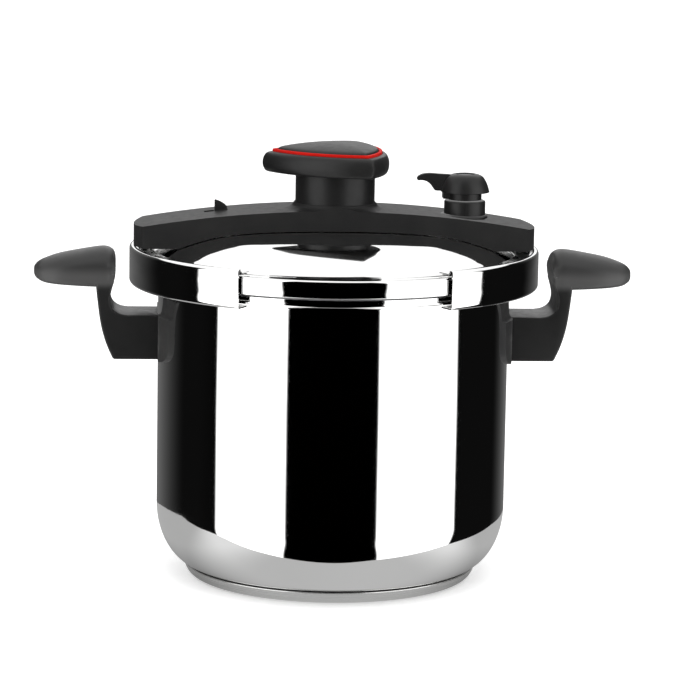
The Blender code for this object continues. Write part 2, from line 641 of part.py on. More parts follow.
def make_handle(side, turn):
    half_w = HANDLE_HALF_W
    handle = plate("handle_" + side, handle_outline(), -half_w, half_w, "Y")
    combine(handle, plate("plan", grip_plan(half_w), 0.13, 0.22, "Z", cutters), "INTERSECT")
    crown_rise = 0.2096 - CROWN_Z
    crown_r = (half_w ** 2 + crown_rise ** 2) / (2 * crown_rise)
    sweep = math.degrees(math.asin(half_w / crown_r))
    crown = arc(0.0, 0.2096 - crown_r, crown_r, 90 - sweep, 90 + sweep, 9)
    section = [(half_w + 0.001, 0.13)] + [(half_w + 0.001, CROWN_Z)] + crown[1:-1]
    section += [(-half_w - 0.001, CROWN_Z), (-half_w - 0.001, 0.13)]
    combine(handle, plate("crown", section, 0.09, 0.20, "X", cutters), "INTERSECT")
    soften(handle, 0.0014, 2, 42)
    combine(handle, disc("root", HANDLE_ROOT_R, (0.13, 0.22), steps=STEPS, collection=cutters))
    combine(handle, box("pocket", (0.10, 0.1305), (-0.0094, 0.0094),
                        (TAB_Z[0] - GAP, TAB_Z[1] + GAP), cutters))
    combine(handle, disc("shank_hole", 0.0023, (0.1390, 0.1560), (SCREW_X, 0.0), 12, cutters))
    combine(handle, disc("head_hole", 0.0042, (0.1390, 0.1445), (SCREW_X, 0.0), 12, cutters))
    finish(turn(handle), PLASTIC, 32)

    facet = 2 * math.pi / STEPS
    root = HANDLE_ROOT_R - GAP
    plan = [(root * math.cos(facet), root * math.sin(facet)), (0.1098, 0.0200),
            (0.1100, 0.0230), (0.1094, 0.0280), (0.1074, 0.0350), (0.1044, 0.0435),
            (0.1018, 0.0520), (0.0900, 0.0540)]
    plan = [(x, -y) for x, y in reversed(plan)] + [(root, 0.0)] + plan
    saddle = plate("saddle_" + side, plan, 0.1400, 0.1820, "Z")
    combine(saddle, plate("front", saddle_front(), 0.05, 0.15, "X", cutters), "INTERSECT")
    combine(saddle, ring("shoulder", HORN_R, 0.13, (SADDLE_TOP + 0.0010, 0.19), steps=STEPS,
                         collection=cutters))
    combine(saddle, disc("wall", WALL_R + GAP, (0.10, 0.22), steps=STEPS, collection=cutters))
    combine(saddle, box("tab_slot", (0.10, 0.13), (-0.0094, 0.0094),
                        (TAB_Z[0] - GAP, TAB_Z[1] + GAP), cutters))
    finish(turn(saddle), PLASTIC, 32)

    tab = box("handle_tab_" + side, (WALL_R + GAP, 0.1300), (-0.0090, 0.0090), TAB_Z)
    combine(tab, disc("tab_hole", 0.0023, (0.14, 0.16), (SCREW_X, 0.0), 12, cutters))
    finish(turn(tab), BRUSHED)
    screw = turned("handle_screw_" + side,
                   [(0.0, 0.1555), (0.0020, 0.1552), (0.0020, 0.1442), (0.0037, 0.1442),
                    (0.0037, 0.1422), (0.0, 0.1418)], steps=12)
    finish(turn(moved(screw, (SCREW_X, 0.0))), BRUSHED)


def unchanged(obj):
    return obj


make_pot()
make_base()
make_lid()
make_bridge()
make_chassis()
make_knob()
make_drive()
make_valve()
make_lid_devices()
for side_name, placing in (("right", unchanged), ("left", half_turned)):
    make_jaw(side_name, placing)
    make_handle(side_name, placing)
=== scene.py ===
"""Looks of the two-jaw pressure cooker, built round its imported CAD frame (metres, +Z up)."""
import json
import math

import bpy
import bmesh
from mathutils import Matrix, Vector


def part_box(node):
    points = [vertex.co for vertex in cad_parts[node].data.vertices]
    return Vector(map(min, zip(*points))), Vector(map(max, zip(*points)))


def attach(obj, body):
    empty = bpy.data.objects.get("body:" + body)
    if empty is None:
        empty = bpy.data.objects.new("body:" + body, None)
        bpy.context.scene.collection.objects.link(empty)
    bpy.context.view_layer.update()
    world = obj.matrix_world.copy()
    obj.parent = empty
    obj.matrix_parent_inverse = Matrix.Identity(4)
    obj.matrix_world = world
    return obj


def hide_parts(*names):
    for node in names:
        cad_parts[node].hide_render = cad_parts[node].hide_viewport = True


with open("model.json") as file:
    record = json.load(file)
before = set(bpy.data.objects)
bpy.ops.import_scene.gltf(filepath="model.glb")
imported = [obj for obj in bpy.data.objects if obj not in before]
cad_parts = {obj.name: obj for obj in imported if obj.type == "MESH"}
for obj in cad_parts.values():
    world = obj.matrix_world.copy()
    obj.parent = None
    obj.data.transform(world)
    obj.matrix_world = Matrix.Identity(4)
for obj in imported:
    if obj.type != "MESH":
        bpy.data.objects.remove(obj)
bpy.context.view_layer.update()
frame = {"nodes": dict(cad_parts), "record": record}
nodes = frame["nodes"]

GAP = 0.0003            # between neighbouring pieces
ROUND = 192             # facets round the pot's axis

# Sizes shared with the CAD model that the boxes of its nodes don't show
WALL_R = 0.11075        # outside of the pot's straight wall
WALL_T = 0.0008
CORNER_A = 0.026        # half axes of the lower corner's ellipse
CORNER_B = 0.039
CORNER_Z = 0.046        # height where the straight wall begins
RIM_LOW = 0.1887
LID_T = 0.0012
FLANGE_Z = 0.2063
DOME = [(0.035, 0.2221), (0.060, 0.2207), (0.075, 0.2189), (0.085, 0.2165),
        (0.095, 0.2133), (0.106, 0.2092)]
JAW_T = 0.0015
JAW_LIP_Z = 0.2085      # top of the lip that bears on the lid
JAW_STEP_R = (0.1232, 0.1250)     # where the lip steps up to the raised edge
JAW_LIP_TOP_R = 0.1140
JAW_LIP_LOW_R = 0.1170
JAW_HALF_ANGLE = 60.0
BRIDGE_TOP = 0.2353
BRIDGE_ARCH_R = 0.700
BRIDGE_CORNER_X = 0.1205
BRIDGE_LOW = 0.2110
BRIDGE_TOP_T = 0.0025
BRIDGE_SIDE_T = 0.0018
STEM_R = 0.0250
HEAD_LOW = 0.2570
HEAD_CORNER_R = 0.0462
HEAD_CORNERS = (177, 297, 57)     # bearings of the head's three corners
HANDLE_ROOT_R = 0.1121  # the handle's root wraps the wall behind its saddle
HORN_R = 0.1126         # outside of the saddle's upper horns

# Sizes of the looks alone
LID_BEND = 0.0016
JAW_BEND = 0.0024
COLLAR_R = 0.0340       # foot of the collar round the stem
REGULATOR_TOP = 0.2577

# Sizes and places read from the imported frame
pot_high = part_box("pot_body")[1]
lid_low, lid_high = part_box("lid_shell")
jaw_low, jaw_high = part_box("jaw_right")
bridge_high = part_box("bridge_cover")[1]
RIM_R = pot_high.x
RIM_Z = (RIM_LOW, pot_high.z)
SKIRT_R = lid_high.x
SKIRT_Z = lid_low.z
DOME_TOP = lid_high.z
JAW_R = jaw_high.x
JAW_Z = (jaw_low.z, jaw_high.z)
BRIDGE_HALF_W = bridge_high.y
BRIDGE_HALF_L = bridge_high.x
valve_low, valve_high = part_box("valve_housing")
VALVE_XY = ((valve_low.x + valve_high.x) / 2, (valve_low.y + valve_high.y) / 2)
fin_low, fin_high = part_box("indicator_fin")
FIN_X = fin_high.x - 0.0070
FIN_Y = (fin_low.y + fin_high.y) / 2


# ---------------------------------------------------------------- materials
class Sums:
    """Short names for a node tree's arithmetic."""

    def __init__(self, tree):
        self.tree = tree

    def step(self, value, begin, end, low=0.0, high=1.0):
        """Smooth step from low to high while the value goes from begin to end."""
        node = self.tree.nodes.new("ShaderNodeMapRange")
        node.interpolation_type = "SMOOTHSTEP"
        for name, number in (("From Min", begin), ("From Max", end), ("To Min", low),
                             ("To Max", high)):
            node.inputs[name].default_value = number
        self.tree.links.new(value, node.inputs["Value"])
        return node.outputs["Result"]

    def math(self, kind, first, second=None):
        """One sum of sockets or plain numbers."""
        node = self.tree.nodes.new("ShaderNodeMath")
        node.operation = kind
        for index, value in enumerate((first, second)):
            if value is None:
                continue
            if isinstance(value, (int, float)):
                node.inputs[index].default_value = value
            else:
                self.tree.links.new(value, node.inputs[index])
        return node.outputs["Value"]


class Look:
    """A Principled material, and short names for the nodes that drive it."""

    def __init__(self, name):
        self.material = bpy.data.materials.new(name)
        self.material.use_nodes = True
        self.tree = self.material.node_tree
        self.shader = self.tree.nodes["Principled BSDF"]
        self.place = self.tree.nodes.new("ShaderNodeTexCoord").outputs["Object"]

    def stretched(self, scale):
        """The piece's own coordinates, scaled along each axis."""
        mapping = self.tree.nodes.new("ShaderNodeMapping")
        mapping.inputs["Scale"].default_value = scale
        self.tree.links.new(self.place, mapping.inputs["Vector"])
        return mapping.outputs["Vector"]

    def noise(self, scale, detail=3.0, vector=None):
        node = self.tree.nodes.new("ShaderNodeTexNoise")
        node.inputs["Scale"].default_value = scale
        node.inputs["Detail"].default_value = detail
        self.tree.links.new(vector or self.place, node.inputs["Vector"])
        return node.outputs["Fac"]

    def spread(self, value, low, high):
        """Stretch a noise's usual range over the given one."""
        node = self.tree.nodes.new("ShaderNodeMapRange")
        node.inputs["From Min"].default_value = 0.3
        node.inputs["From Max"].default_value = 0.7
        node.inputs["To Min"].default_value = low
        node.inputs["To Max"].default_value = high
        self.tree.links.new(value, node.inputs["Value"])
        return node.outputs["Result"]

    def colour(self, value, first, second):
        """Base colour between two, along the middle of the value's range."""
        ramp = self.tree.nodes.new("ShaderNodeValToRGB")
        ramp.color_ramp.elements[0].position = 0.35
        ramp.color_ramp.elements[0].color = (*first, 1.0)
        ramp.color_ramp.elements[1].position = 0.65
        ramp.color_ramp.elements[1].color = (*second, 1.0)
        self.tree.links.new(value, ramp.inputs["Fac"])
        self.tree.links.new(ramp.outputs["Color"], self.shader.inputs["Base Color"])

    def roughness(self, value, low, high):
        self.tree.links.new(self.spread(value, low, high), self.shader.inputs["Roughness"])

    def bump(self, value, height, strength):
        node = self.tree.nodes.new("ShaderNodeBump")
        node.inputs["Distance"].default_value = height
        node.inputs["Strength"].default_value = strength
        self.tree.links.new(value, node.inputs["Height"])
        self.tree.links.new(node.outputs["Normal"], self.shader.inputs["Normal"])

    def constant(self, **values):
        """Fixed values on the shader's own sockets."""
        for name, value in values.items():
            self.shader.inputs[name.replace("_", " ")].default_value = value


def mirror_finish(name):
    """Mirror-polished stainless steel with faint polishing haze, before its bump."""
    look = Look(name)
    look.constant(Metallic=1.0)
    look.colour(look.noise(9.0, 4.0), (0.900, 0.900, 0.895), (0.945, 0.945, 0.940))
    look.roughness(look.noise(420.0, 2.0), 0.030, 0.048)
    return look


def polished_steel():
    """Spun and polished sheet: true, with the finest polishing lines."""
    look = mirror_finish("polished_steel")
    look.bump(look.noise(1600.0, 2.0), 0.0000008, 0.35)
    return look.material


def pressed_steel():
    """The same mirror finish on pressed sheet, which is never quite true."""
    look = mirror_finish("pressed_steel")
    look.bump(look.noise(1.0, 1.0, look.stretched((20.0, 20.0, 75.0))), 0.0007, 1.0)
    return look.material


def satin_metal(name, low, high, shade):
    """Turned or brushed grey metal: fine lines round the axis."""
    look = Look(name)
    look.constant(Metallic=1.0)
    lines = look.noise(1.0, 3.0, look.stretched((30.0, 30.0, 2600.0)))
    look.colour(lines, (shade, shade, shade * 0.985), (shade * 1.1, shade * 1.1, shade * 1.09))
    look.roughness(lines, low, high)
    look.bump(lines, 0.000004, 0.4)
    return look.material


def moulded_finish(name, rough=(0.34, 0.42), shine=0.28):
    """Matt phenolic moulding with a fine eroded grain, before its colour."""
    look = Look(name)
    look.constant(Specular_IOR_Level=shine)
    look.roughness(look.noise(240.0, 4.0), *rough)
    look.bump(look.noise(2300.0, 3.0), 0.000018, 0.55)
    return look


def moulded_black(name, shade, **finish):
    """Dark phenolic of one shade, clouded a little."""
    look = moulded_finish(name, **finish)
    look.colour(look.noise(38.0, 5.0), (shade * 0.88, shade * 0.88, shade * 0.90),
                (shade * 1.16, shade * 1.15, shade * 1.13))
    return look.material


def painted_sheen_black():
    """The same black with a painted sheen: lighter round the middle of the grips' sides, and a
    little lighter on their tops.
    """
    look = moulded_finish("painted_sheen_phenolic")
    sums = Sums(look.tree)
    place = look.tree.nodes.new("ShaderNodeSeparateXYZ")
    look.tree.links.new(look.place, place.inputs["Vector"])
    height = place.outputs["Z"]
    # Painted sheen: a band of lighter colour at the height of the grips' sides, with less of it
    # kept on their tops
    sheen_band = sums.math("ADD", sums.step(height, 0.1835, 0.1895, 0.0, 1.0),
                    sums.step(height, 0.1915, 0.1995, 0.0, -0.72))
    cloud_and_sheen = sums.math("ADD", sums.math("MULTIPLY", look.noise(38.0, 5.0), 0.05),
                      sums.math("ADD", sums.math("MULTIPLY", sheen_band, 0.30), 0.33))
    look.colour(cloud_and_sheen, (0.0118, 0.0118, 0.0118), (0.0640, 0.0635, 0.0630))
    return look.material


def red_plastic():
    """Matt red plastic of the knob's trim ring."""
    look = Look("red_trim")
    look.constant(Specular_IOR_Level=0.03)
    look.colour(look.noise(60.0), (0.49, 0.009, 0.006), (0.55, 0.012, 0.008))
    look.roughness(look.noise(300.0), 0.45, 0.55)
    look.bump(look.noise(1800.0), 0.000006, 0.4)
    return look.material


def rubber():
    """Grey silicone of the gasket."""
    look = Look("grey_silicone")
    look.colour(look.noise(80.0), (0.26, 0.26, 0.27), (0.34, 0.34, 0.35))
    look.roughness(look.noise(300.0), 0.55, 0.75)
    look.bump(look.noise(900.0), 0.00002, 0.5)
    return look.material


def turned_brass():
    """Brass with fine turning lines."""
    look = Look("turned_brass")
    look.constant(Metallic=1.0)
    lines = look.noise(1.0, 2.0, look.stretched((40.0, 40.0, 1800.0)))
    look.colour(lines, (0.66, 0.47, 0.20), (0.78, 0.59, 0.29))
    look.roughness(lines, 0.26, 0.40)
    look.bump(lines, 0.000004, 0.4)
    return look.material


STEEL = polished_steel()
PRESSED = pressed_steel()
BASE_STEEL = satin_metal("base_steel", 0.20, 0.30, 0.72)
SATIN = satin_metal("satin_steel", 0.24, 0.34, 0.66)
DISC_ALUMINIUM = satin_metal("disc_aluminium", 0.38, 0.50, 0.70)
BLACK = moulded_black("black_phenolic", 0.0125)
# The handles' black, with a painted sheen on the grips
PAINTED_SHEEN_BLACK = painted_sheen_black()
# Painted light: the saddles' black is lighter than the other mouldings' so that it stands for the
# light their faces catch
SADDLE_PAINTED_LIGHT_BLACK = moulded_black("saddle_phenolic_painted_light", 0.030)
BRIDGE_BLACK = moulded_black("bridge_phenolic", 0.0172, rough=(0.45, 0.53), shine=0.17)
CAP_GREY = moulded_black("knob_cap_grey", 0.022, rough=(0.40, 0.48))
RED = red_plastic()
RUBBER = rubber()
BRASS = turned_brass()


# ------------------------------------------------------------------ shapes
def arc(cx, cy, radius, start, end, count):
    """Points of an arc in degrees, both ends included."""
    turns = [math.radians(start + (end - start) * i / (count - 1)) for i in range(count)]
    return [(cx + radius * math.cos(t), cy + radius * math.sin(t)) for t in turns]


def curve_through(points, steps, closed=False):
    """Points of a smooth (Catmull-Rom) curve through the given ones."""
    count = len(points)
    result = []
    for i in range(count if closed else count - 1):
        if closed:
            near = [points[(i + k) % count] for k in (-1, 0, 1, 2)]
        else:
            near = [points[min(max(i + k, 0), count - 1)] for k in (-1, 0, 1, 2)]
        for step in range(steps):
            t = step / steps
            weights = (-0.5 * t + t * t - 0.5 * t ** 3, 1 - 2.5 * t * t + 1.5 * t ** 3,
                       0.5 * t + 2 * t * t - 1.5 * t ** 3, -0.5 * t * t + 0.5 * t ** 3)
            result.append(tuple(sum(w * p[axis] for w, p in zip(weights, near))
                                for axis in (0, 1)))
    if not closed:
        result.append(points[-1])
    return result


def rectangle(left, low, right, high):
    """Outline of a rectangle."""
    return [(left, low), (right, low), (right, high), (left, high)]


def add_object(name, shape):
    """Turn a finished bmesh into a linked object with outward faces."""
    bmesh.ops.recalc_face_normals(shape, faces=shape.faces)
    mesh = bpy.data.meshes.new(name)
    shape.to_mesh(mesh)
    shape.free()
    obj = bpy.data.objects.new(name, mesh)
    bpy.context.scene.collection.objects.link(obj)
    return obj


def bake(obj):
    """Apply the modifiers of a piece."""
    bpy.context.view_layer.update()
    graph = bpy.context.evaluated_depsgraph_get()
    mesh = bpy.data.meshes.new_from_object(obj.evaluated_get(graph))
    obj.modifiers.clear()
    obj.data = mesh


def revolve(name, loop, steps=ROUND, start=0.0, sweep=360.0, centre=(0.0, 0.0)):
    """Turn a closed loop of (radius, height) points about a vertical axis."""
    shape = bmesh.new()
    full = sweep >= 360.0
    rows = []
    for i in range(steps if full else steps + 1):
        turn = math.radians(start + sweep * i / steps)
        row = []
        for r, z in loop:
            if r <= 0.0 and i > 0:
                row.append(rows[0][len(row)])
            else:
                row.append(shape.verts.new((centre[0] + r * math.cos(turn),
                                            centre[1] + r * math.sin(turn), z)))
        rows.append(row)
    for i in range(steps):
        here, after = rows[i], rows[(i + 1) % len(rows)]
        for k in range(len(loop)):
            m = (k + 1) % len(loop)
            corners = []
            for vertex in (here[k], here[m], after[m], after[k]):
                if vertex not in corners:
                    corners.append(vertex)
            if len(corners) > 2:
                shape.faces.new(corners)
    if not full:
        shape.faces.new(rows[0])
        shape.faces.new(list(reversed(rows[-1])))
    return add_object(name, shape)


def cylinder(name, radius, low, high, steps=ROUND, centre=(0.0, 0.0)):
    """Plain upright cylinder, mostly used as a cutter."""
    loop = [(0.0, high), (radius, high), (radius, low), (0.0, low)]
    return revolve(name, loop, steps, centre=centre)


def loft(name, outlines):
    """Skin a list of closed outlines that have the same number of (x, y, z) points."""
    shape = bmesh.new()
    rows = [[shape.verts.new(point) for point in outline] for outline in outlines]
    for here, after in zip(rows, rows[1:]):
        for i in range(len(here)):
            j = (i + 1) % len(here)
            shape.faces.new((here[i], here[j], after[j], after[i]))
    shape.faces.new(list(reversed(rows[0])))
    shape.faces.new(rows[-1])
    return add_object(name, shape)


def prism(name, outline, low, high, facing="Z"):
    """Extrude a closed outline: "Z" reads it as (x, y), "Y" as (x, z), "X" as (y, z)."""
    shape = bmesh.new()
    sides = []
    for depth in (low, high):
        row = []
        for u, v in outline:
            place = {"Z": (u, v, depth), "Y": (u, depth, v), "X": (depth, u, v)}[facing]
            row.append(shape.verts.new(place))
        sides.append(row)
    shape.faces.new(sides[0])
    shape.faces.new(list(reversed(sides[1])))
    for i in range(len(outline)):
        j = (i + 1) % len(outline)
        shape.faces.new((sides[0][i], sides[1][i], sides[1][j], sides[0][j]))
    return add_object(name, shape)


def combine(obj, other, operation="DIFFERENCE"):
    """Cut, join or intersect a piece with another one, which is used up."""
    weld = 0.000005
    modifier = obj.modifiers.new("cut", "BOOLEAN")
    modifier.operation = operation
    modifier.solver = "EXACT"
    modifier.object = other
    bake(obj)
    bpy.data.objects.remove(other, do_unlink=True)
    shape = bmesh.new()
    shape.from_mesh(obj.data)
    bmesh.ops.remove_doubles(shape, verts=shape.verts, dist=weld)
    bmesh.ops.dissolve_degenerate(shape, edges=shape.edges, dist=weld)
    shape.to_mesh(obj.data)
    shape.free()


def soften(obj, width, segments, angle):
    """Round the edges that are sharper than the angle, in degrees."""
    modifier = obj.modifiers.new("edges", "BEVEL")
    modifier.width = width
    modifier.segments = segments
    modifier.limit_method = "ANGLE"
    modifier.angle_limit = math.radians(angle)
    modifier.use_clamp_overlap = True
    modifier.harden_normals = False
    bake(obj)


def unchanged(obj):
    """Leave a piece on the right side, where it is made."""
    return obj


def half_turned(obj):
    """Turn a piece half round the pot's axis, to the left side."""
    for vertex in obj.data.vertices:
        vertex.co.x = -vertex.co.x
        vertex.co.y = -vertex.co.y
    return obj


def piece(obj, look, slot, body, *replaced, angle=40):
    """Finish a piece, set it riding on its body, and hide the CAD nodes it stands for."""
    obj.data.shade_smooth()
    obj.data.set_sharp_from_angle(angle=math.radians(angle))
    obj.data.materials.clear()
    obj.data.materials.append(look)
    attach(obj, body)
    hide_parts(*replaced)


# ---------------------------------------------------------------------- pot
def corner_curve(a, b, count):
    """The pot's lower corner, from the straight wall to the flat bottom."""
    centre_r = WALL_R - CORNER_A
    turns = [math.radians(90 * i / (count - 1)) for i in range(count)]
    return [(centre_r + a * math.cos(t), CORNER_Z - b * math.sin(t)) for t in turns]


def make_pot():
    """Drawn shell with its rolled rim."""
    low, high = RIM_Z
    edge_r, bead_r, mouth_r = 0.0015, 0.0020, 0.1120
    mid_wall = 0.120
    loop = arc(RIM_R - edge_r, high - edge_r, edge_r, 90, 0, 6)
    loop += arc(RIM_R - bead_r, low + bead_r, bead_r, 0, -90, 6)
    loop += curve_through([(0.1150, low), (0.1124, low - 0.0003), (WALL_R + 0.0003, low - 0.0012),
                           (WALL_R, low - 0.0030)], 4)
    loop += [(WALL_R, mid_wall)]
    loop += corner_curve(CORNER_A, CORNER_B, 30)
    bottom = CORNER_Z - CORNER_B
    loop += [(0.0, bottom), (0.0, bottom + WALL_T)]
    loop += list(reversed(corner_curve(CORNER_A - WALL_T, CORNER_B - WALL_T, 20)))
    loop += [(WALL_R - WALL_T, high - 0.0026)]
    loop += arc(mouth_r, high - bead_r, bead_r, 180, 90, 5)
    piece(revolve("pot", loop), STEEL, "polished_steel", "pot", "pot_body")


def make_base():
    """Steel capsule over the heat-spreading disc, with a groove under the pot's corner."""
    base_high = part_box("base_cap")[1]
    r, top = base_high.x, base_high.z
    edge = 0.0005
    loop = [(r - 0.0012, top)] + arc(r - edge, top - edge, edge, 90, 0, 4)
    loop += curve_through([(r - 0.0001, top - 0.0008), (0.0920, 0.0050), (0.0902, 0.0022),
                           (0.0876, 0.0006), (0.0850, 0.0)], 5)
    loop += [(0.0790, 0.0), (0.0780, 0.0003), (0.0, 0.0003), (0.0, 0.0010)]
    loop += [(r - 0.0042, 0.0010), (0.0901, 0.0024), (r - 0.0022, 0.0062)]
    piece(revolve("base", loop), BASE_STEEL, "brushed_steel", "pot", "base_cap")


# ---------------------------------------------------------------------- lid
def dome_line(offset):
    """The lid's top line from the axis to the flange, raised by the offset."""
    points = [(0.0, DOME_TOP + offset)] + [(r, z + offset) for r, z in DOME]
    points += [(0.1140, FLANGE_Z + 0.0003 + offset), (0.1215, FLANGE_Z + offset)]
    return curve_through(points, 7)


def make_lid():
    """Domed lid with a flat flange and a skirt."""
    bend_r, bend_z = SKIRT_R - LID_BEND, FLANGE_Z - LID_BEND
    hem = 0.0005
    loop = dome_line(0.0)[:-1] + arc(bend_r, bend_z, LID_BEND, 90, 0, 9)
    loop += arc(SKIRT_R - hem, SKIRT_Z + hem, hem, 0, -90, 4)
    loop += [(SKIRT_R - LID_T, SKIRT_Z)]
    loop += arc(bend_r, bend_z, LID_BEND - LID_T, 0, 90, 6)
    loop += list(reversed(dome_line(-LID_T)[:-1]))
    piece(revolve("lid", loop), STEEL, "polished_steel", "lid", "lid_shell")


# --------------------------------------------------------------------- jaws
def jaw_section():
    """Section of the bent strip: raised outer edge, top lip, wall and lower lip."""
    low, high = JAW_Z
    bend_r, bend_low, bend_high = JAW_R - JAW_BEND, low + JAW_BEND, high - JAW_BEND
    inside = JAW_BEND - JAW_T
    hem = JAW_T / 2
    step_in, step_out = JAW_STEP_R
    sway = 0.0007           # spreads the step, so that it is a slope
    loop = curve_through([(step_out + sway, high), (step_out - 0.0003, high - 0.0006),
                          (step_in + sway, JAW_LIP_Z + 0.0005), (step_in, JAW_LIP_Z)], 4)
    loop += arc(JAW_LIP_TOP_R + hem, JAW_LIP_Z - hem, hem, 90, 270, 7)
    loop += [(step_in + sway, JAW_LIP_Z - JAW_T), (step_out + sway, high - JAW_T)]
    loop += list(reversed(arc(bend_r, bend_high, inside, 0, 90, 6)))
    loop += list(reversed(arc(bend_r, bend_low, inside, -90, 0, 6)))
    loop += arc(JAW_LIP_LOW_R + hem, low + hem, hem, 90, 270, 7)
    loop += arc(bend_r, bend_low, JAW_BEND, -90, 0, 9)
    loop += arc(bend_r, bend_high, JAW_BEND, 0, 90, 9)
    return loop


def make_jaw(side, turn):
    """One of the two clamping jaws."""
    jaw = revolve("clamp_" + side, jaw_section(), 96, -JAW_HALF_ANGLE, 2 * JAW_HALF_ANGLE)
    soften(jaw, 0.00035, 2, 60)
    piece(turn(jaw), PRESSED, "polished_steel", "jaw_" + side, "jaw_" + side)


# ------------------------------------------------------------------- bridge
def arch_height(x):
    """Height of the bridge's arched top."""
    return BRIDGE_TOP - x * x / (2 * BRIDGE_ARCH_R)


def arch_block(name, drop, low, count):
    """Block longer and wider than the bridge, under its arched top lowered by the drop."""
    half_length, half_depth = 0.1300, 0.04
    outline = [(half_length, low), (-half_length, low)]
    for i in range(count):
        x = -half_length + 2 * half_length * i / (count - 1)
        outline.append((x, arch_height(x) - drop))
    return prism(name, outline, -half_depth, half_depth, "Y")


def bridge_plan(inset):
    """The bridge seen from above: straight long sides and bowed ends."""
    half_w = BRIDGE_HALF_W - inset
    corner = BRIDGE_CORNER_X - inset
    bow = BRIDGE_HALF_L - BRIDGE_CORNER_X
    radius = (half_w ** 2 + bow ** 2) / (2 * bow)
    sweep = math.degrees(math.asin(half_w / radius))
    right = arc(corner + bow - radius, 0.0, radius, -sweep, sweep, 17)
    return right + [(-x, -y) for x, y in right]


def settle_normals(cover):
    """Give the arched top and the flat sides their true normals."""
    mesh = cover.data
    settled = []
    for face in mesh.polygons:
        for loop in face.loop_indices:
            place = mesh.vertices[mesh.loops[loop].vertex_index].co
            normal = Vector(mesh.corner_normals[loop].vector)
            clear = math.hypot(place.x, place.y) > COLLAR_R + 0.0005
            if face.normal.z > 0.97 and clear:
                normal = Vector((place.x / BRIDGE_ARCH_R, 0.0, 1.0)).normalized()
            elif abs(face.normal.y) > 0.999:
                normal = Vector((0.0, math.copysign(1.0, face.normal.y), 0.0))
            settled.append(normal)
    mesh.normals_split_custom_set(settled)


def make_bridge():
    """Hollow arched cover with the knob's collar and the holes for stem, valve and fin."""
    beneath, foot, inside, over = 0.19, 0.20, 0.22, 0.25    # where cutters begin or end
    cover = arch_block("bridge", 0.0, 0.2060, 73)
    combine(cover, prism("plan", bridge_plan(0.0), foot, over), "INTERSECT")
    soften(cover, 0.0018, 4, 42)
    flare = curve_through([(0.0260, 0.2380), (0.0264, 0.2372), (0.0275, 0.2361), (0.0299, 0.2350),
                           (COLLAR_R, 0.2341)], 5)
    collar = revolve("collar", [(0.0, 0.2386), (0.0256, 0.2386)] + flare
                     + [(COLLAR_R, 0.2300), (0.0, 0.2300)], 128)
    flush = BRIDGE_HALF_W - 0.00008     # a hair inside the cover's sides
    sides = rectangle(-0.05, -flush, 0.05, flush)
    combine(collar, prism("flat", sides, inside, over), "INTERSECT")
    combine(cover, collar, "UNION")
    hollow = arch_block("hollow", BRIDGE_TOP_T, 0.2050, 49)
    combine(hollow, prism("plan", bridge_plan(BRIDGE_SIDE_T), foot, over), "INTERSECT")
    combine(cover, hollow)
    under = dome_line(0.0004) + [(0.14, BRIDGE_LOW), (0.14, beneath), (0.0, beneath)]
    combine(cover, revolve("under", under, 128))
    combine(cover, prism("below", rectangle(-0.14, -0.04, 0.14, 0.04), beneath, BRIDGE_LOW))
    hole_low = 0.228        # no deeper, since the hole would reach into the side walls
    combine(cover, cylinder("stem_hole", STEM_R + GAP, hole_low, over, 128))
    combine(cover, cylinder("valve_hole", 0.009, inside, over, 48, VALVE_XY))
    for name, start, end, half_w in (("fin_slot", -0.0105, 0.0046, 0.0013),
                                     ("thumb_slot", -0.0104, -0.0044, 0.0032)):
        slot = rectangle(FIN_X + start, FIN_Y - half_w, FIN_X + end, FIN_Y + half_w)
        combine(cover, prism(name, slot, inside, over))
    piece(cover, BRIDGE_BLACK, "black_plastic", "lid", "bridge_cover", angle=32)
    settle_normals(cover)


# --------------------------------------------------------------------- knob
def knob_plan(corner_r):
    """Triangle with bowed sides and small blunted corners."""
    blunt = 0.7             # degrees left out at each end of a side
    tip = 0.0003            # how far each corner is cut back
    side = corner_r * math.sqrt(3)
    corners = [(corner_r * math.cos(math.radians(a)), corner_r * math.sin(math.radians(a)))
               for a in HEAD_CORNERS]
    points = []
    for index, (x, y) in enumerate(corners):
        far_x, far_y = corners[(index + 2) % 3]
        start = math.degrees(math.atan2(y - far_y, x - far_x))
        points += arc(far_x, far_y, side, start + blunt, start + 60 - blunt, 25)
        tip_x, tip_y = corners[(index + 1) % 3]
        reach = 1.0 - tip / corner_r
        points.append((tip_x * reach, tip_y * reach))
    return points


def barrel(name, rings):
    """Loft between the knob's plans of several (corner radius, height) sizes, lowest first."""
    return loft(name, [[(x, y, z) for x, y in knob_plan(r)] for r, z in rings])


